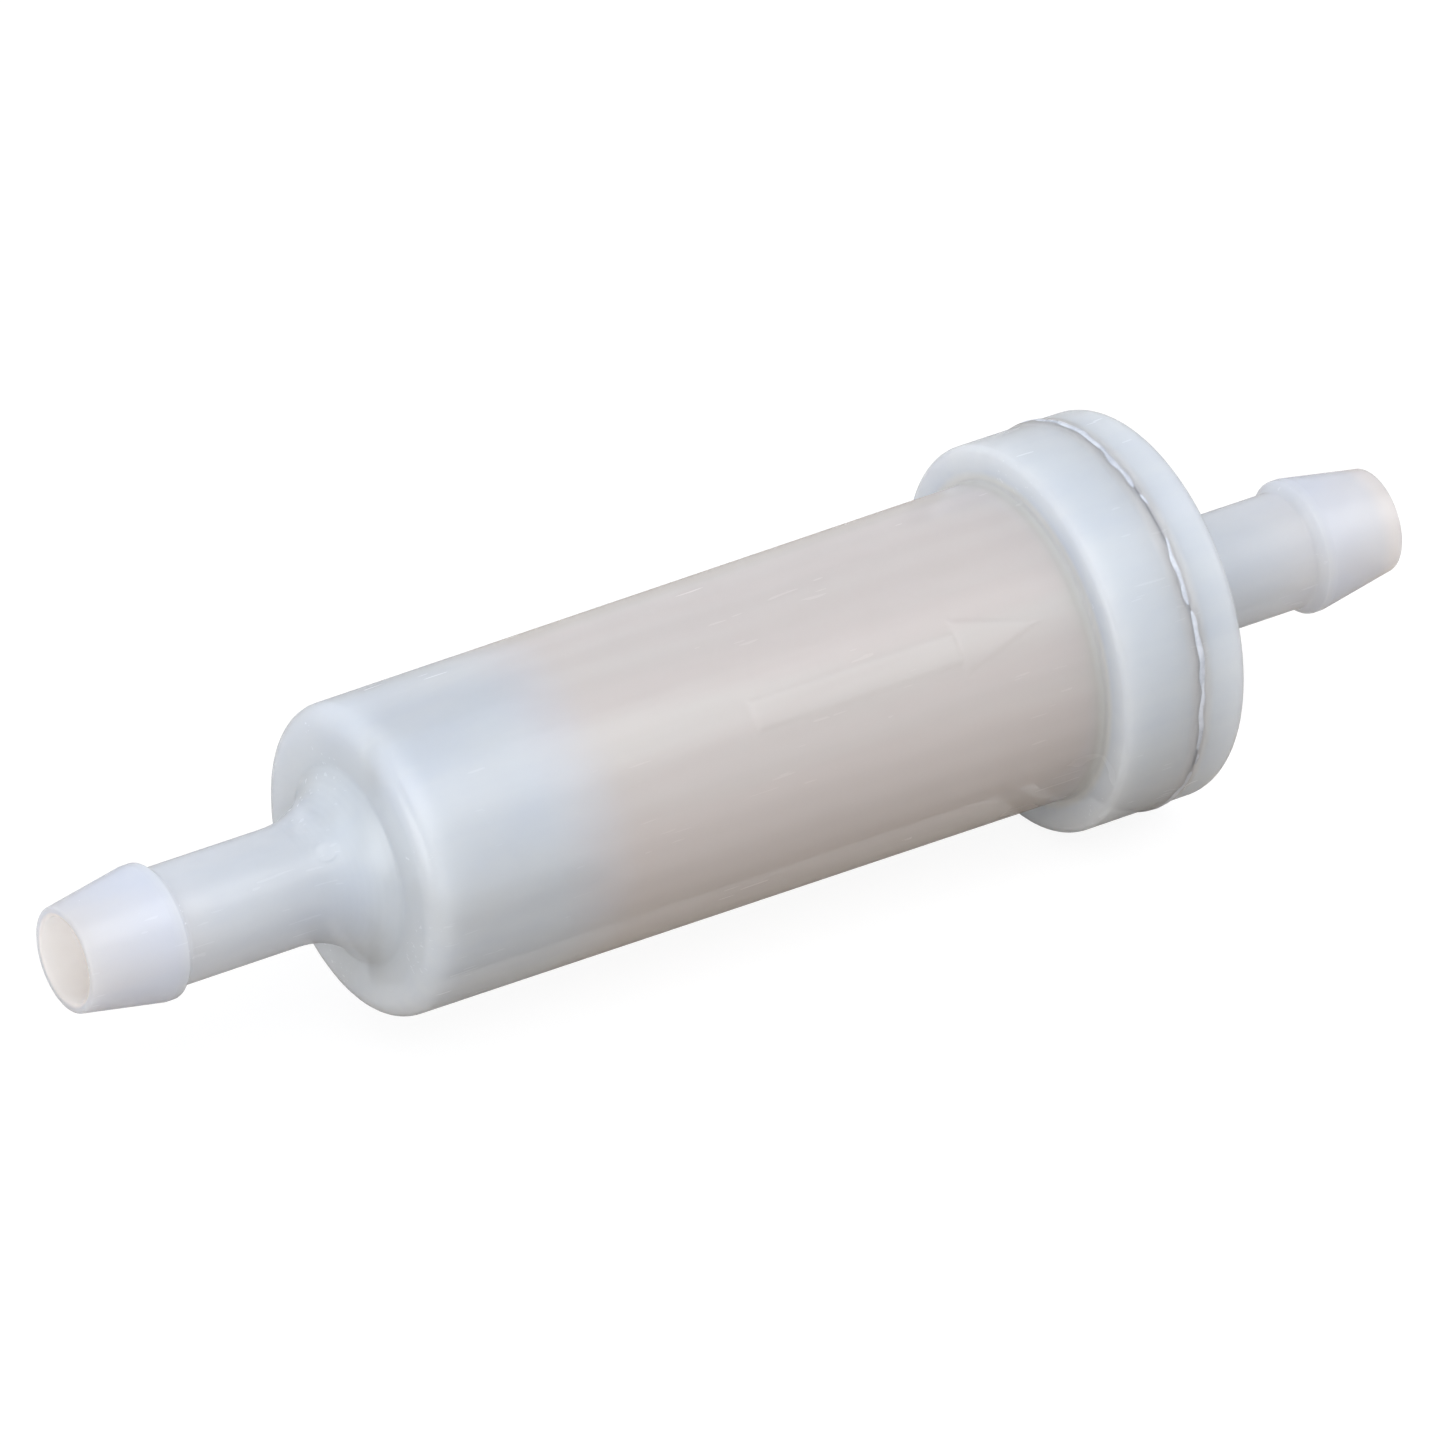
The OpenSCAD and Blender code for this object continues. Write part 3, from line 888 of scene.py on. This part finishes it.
def make_cap_nylon(skin, mouth, weld):
    """Milky moulding with no element painted into it."""
    material, tree, shader, place = principled("cap_nylon")
    surface = moulded(tree, skin, place, MILK_CLEAR, MILK_CLOUDY, 0.20)
    # Painted glow: warm colour and emission in the outlet's bore and round its mouth.
    mouth_glow = with_mouth_glow(tree, mouth, place, surface["Colour"], OUTLET_END * MM, 0.4)
    feed(tree, shader, "Base Color", welded(tree, weld, place, mouth_glow["Colour"]))
    feed(tree, shader, "Roughness", surface["Roughness"])
    feed(tree, shader, "Emission Color", mouth_glow["Glow"])
    bumped(tree, shader, surface["Height"], 0.00002, 0.4)
    milky(shader, 0.005, 0.75)
    return material


def make_frozen_flash():
    """Pale resin that froze as it was squeezed out: chalky, with glossy flecks. Its paleness is partly
    painted light that covers the dark shading at the seam.
    """
    material, tree, shader, place = principled("frozen_flash")
    flecks = noise(tree, place, 900, 3, 0.6)
    # Partly painted light: the flash's pale colour also covers the dark shading where the cup and the cap
    # meet.
    feed(tree, shader, "Base Color", blended(tree, ramped(tree, flecks, 0.4, 0.6), FLASH_DULL, FLASH_PALE))
    feed(tree, shader, "Roughness", ramped(tree, flecks, 0.35, 0.65, 0.25, 0.5))
    bumped(tree, shader, flecks, 0.00004, 0.6)
    return material


def make_plain_moulding(name, skin, clear, cloudy, roughness):
    material, tree, shader, place = principled(name)
    surface = moulded(tree, skin, place, clear, cloudy, roughness)
    feed(tree, shader, "Base Color", surface["Colour"])
    feed(tree, shader, "Roughness", surface["Roughness"])
    bumped(tree, shader, surface["Height"], 0.00003, 0.5)
    return material


def make_paper():
    """Resin-treated filter paper: crossed fibre noise over a mottled beige, fully rough."""
    material, tree, shader, place = principled("pleated_paper")
    fibres = noise(tree, stretched(tree, place, (1, 0.25, 0.25)), 3800, 3, 0.6, 0.6)
    cross = noise(tree, stretched(tree, place, (0.2, 1, 1)), 3000, 3, 0.6, 0.6)
    mottle = noise(tree, place, 420, 3)
    half_fibres = calculated(tree, "MULTIPLY", fibres, 0.5)
    felt = calculated(tree, "ADD", half_fibres, calculated(tree, "MULTIPLY", cross, 0.5))
    part_mottle = calculated(tree, "MULTIPLY", mottle, 0.4)
    shade = calculated(tree, "ADD", calculated(tree, "MULTIPLY", felt, 0.6), part_mottle)
    colour = blended(tree, ramped(tree, shade, 0.36, 0.64), (0.60, 0.47, 0.36, 1), (0.80, 0.70, 0.58, 1))
    feed(tree, shader, "Base Color", colour)
    feed(tree, shader, "Roughness", ramped(tree, felt, 0.3, 0.7, 0.8, 0.98))
    bumped(tree, shader, felt, 0.00005, 0.8)
    return material


def make_resin():
    material, tree, shader, place = principled("potting_resin")
    swirl = noise(tree, place, 500, 3, 0.5, 1.0)
    feed(tree, shader, "Base Color", blended(tree, swirl, (0.60, 0.42, 0.22, 1), (0.80, 0.64, 0.42, 1)))
    feed(tree, shader, "Roughness", ramped(tree, swirl, 0.3, 0.7, 0.25, 0.45))
    bumped(tree, shader, swirl, 0.00006, 0.6)
    return material


def make_rubber():
    material, tree, shader, place = principled("gasket_rubber")
    grain = noise(tree, place, 2500, 3)
    bloom = noise(tree, place, 300, 2)
    feed(tree, shader, "Base Color", blended(tree, bloom, (0.018, 0.018, 0.019, 1), (0.05, 0.05, 0.052, 1)))
    feed(tree, shader, "Roughness", ramped(tree, bloom, 0.3, 0.7, 0.55, 0.8))
    bumped(tree, shader, grain, 0.00003, 0.7)
    return material


# ------------------------------------------------------------------ stage, light and camera

CAMERA_TILT = math.radians(27.62)
CAMERA_RISE = math.radians(18.59)
CAMERA_DISTANCE_M = 0.9704
CAMERA_LENS = 448.4
AIM_X = 41.43
AIM_UP = 0.884


def build_stage():
    """Plain floor under the collar: nearly white to the camera, and a warm grey for bounced light."""
    z = cad_box[0][2]
    half = 3.0
    mesh = bpy.data.meshes.new("floor")
    corners = [(-half, -half, z), (half, -half, z), (half, half, z), (-half, half, z)]
    mesh.from_pydata(corners, [], [(0, 1, 2, 3)])
    floor = bpy.data.objects.new("floor", mesh)
    bpy.context.collection.objects.link(floor)
    material = bpy.data.materials.new("floor_white")
    material.use_nodes = True
    tree = material.node_tree
    tree.nodes.clear()
    path = put(tree, "ShaderNodeLightPath").outputs
    direct = path["Is Camera Ray"]
    bounce = put(tree, "ShaderNodeBsdfDiffuse", {"Color": (0.40, 0.35, 0.29, 1)}).outputs[0]
    paper = put(tree, "ShaderNodeBsdfDiffuse", {"Color": (0.14, 0.14, 0.14, 1)}).outputs[0]
    glow = put(tree, "ShaderNodeEmission", {"Color": (1, 1, 1, 1), "Strength": 0.9}).outputs[0]
    bright = put(tree, "ShaderNodeAddShader", {0: paper, 1: glow}).outputs[0]
    either = put(tree, "ShaderNodeMixShader", {0: direct, 1: bounce, 2: bright}).outputs[0]
    put(tree, "ShaderNodeOutputMaterial", {"Surface": either})
    mesh.materials.append(material)


def soft_box(name, place, size, power, mirrored=True):
    """Rectangular lamp that faces the middle of the filter, seen in glossy surfaces if mirrored."""
    light = bpy.data.lights.new(name, "AREA")
    light.shape = "RECTANGLE"
    light.size, light.size_y = size
    light.energy = power
    lamp = bpy.data.objects.new(name, light)
    lamp.location = place
    lamp.visible_glossy = mirrored
    to_filter = Vector((AIM_X * MM, 0, 0)) - Vector(place)
    lamp.rotation_euler = to_filter.to_track_quat("-Z", "Y").to_euler()
    bpy.context.collection.objects.link(lamp)


def build_light():
    world = bpy.data.worlds.new("studio")
    bpy.context.scene.world = world
    world.use_nodes = True
    tree = world.node_tree
    tree.nodes.clear()
    direct = put(tree, "ShaderNodeLightPath").outputs["Is Camera Ray"]
    room = put(tree, "ShaderNodeBackground", {"Color": (0.95, 0.98, 1.06, 1), "Strength": 0.50}).outputs[0]
    wall = put(tree, "ShaderNodeBackground", {"Color": (1, 1, 1, 1), "Strength": 1.0}).outputs[0]
    either = put(tree, "ShaderNodeMixShader", {0: direct, 1: room, 2: wall}).outputs[0]
    put(tree, "ShaderNodeOutputWorld", {"Surface": either})
    soft_box("key_box", (0.02, -0.27, 0.49), (0.7, 0.42), 2.05)
    soft_box("left_box", (-0.55, -0.12, 0.10), (0.45, 0.35), 1.7)
    soft_box("right_box", (0.52, -0.20, 0.25), (0.35, 0.35), 0.7)
    soft_box("back_box", (0.04, 0.55, 0.10), (0.7, 0.30), 1.9, mirrored=False)


def build_camera():
    """Long lens on the -Y side, held level.

    CAMERA_TILT is the angle between the filter's axis and the picture plane and CAMERA_RISE is the
    axis's slope in the picture, so the camera stands at elevation atan(sin rise / tan tilt).
    """
    camera = bpy.data.cameras.new("camera")
    camera.sensor_width = 36
    camera.lens = CAMERA_LENS
    camera.clip_start = 0.05
    camera.clip_end = 20
    elevation = math.atan(math.sin(CAMERA_RISE) / math.tan(CAMERA_TILT))
    back = Vector((-math.sin(CAMERA_TILT), 0, math.sin(elevation)))
    back.y = -math.sqrt(1 - back.length_squared)
    up = back.cross(Vector((0, 0, 1)).cross(back).normalized())
    holder = bpy.data.objects.new("camera", camera)
    holder.location = Vector((AIM_X * MM, 0, 0)) + up * AIM_UP * MM + back * CAMERA_DISTANCE_M
    holder.rotation_euler = (-back).to_track_quat("-Z", "Y").to_euler()
    bpy.context.collection.objects.link(holder)
    bpy.context.scene.camera = holder


# ------------------------------------------------------------------ the filter


def build_filter():
    skin = make_moulded_skin()
    mouth = make_mouth_painted_glow()
    weld = make_weld_paling_and_light()
    build_cup(make_cup_nylon(skin, mouth, weld))
    build_cap(make_cap_nylon(skin, mouth, weld))
    build_weld_line(make_frozen_flash())
    build_paper(make_paper())
    build_seam_glue(make_plain_moulding("seam_glue", skin, (0.80, 0.70, 0.48), (0.88, 0.80, 0.60), 0.35))
    disc = make_plain_moulding("disc_plastic", skin, (0.82, 0.78, 0.72), (0.88, 0.85, 0.80), 0.40)
    build_inlet_disc(disc)
    build_outlet_disc(disc)
    resin = make_resin()
    build_potting("inlet_resin", "inlet_potting", resin, INLET_DISC_X + DISC_T, PAPER_X)
    build_potting("outlet_resin", "outlet_potting", resin, OUTLET_DISC_END - DISC_T, PAPER_END)
    build_gasket(make_rubber())
    tube = make_plain_moulding("tube_plastic", skin, (0.80, 0.80, 0.77), (0.86, 0.86, 0.84), 0.45)
    bpy.data.objects["centre_tube"].material_slots[0].material = tube


build_filter()
build_stage()
build_light()
build_camera()
bpy.context.scene.view_settings.view_transform = "Standard"
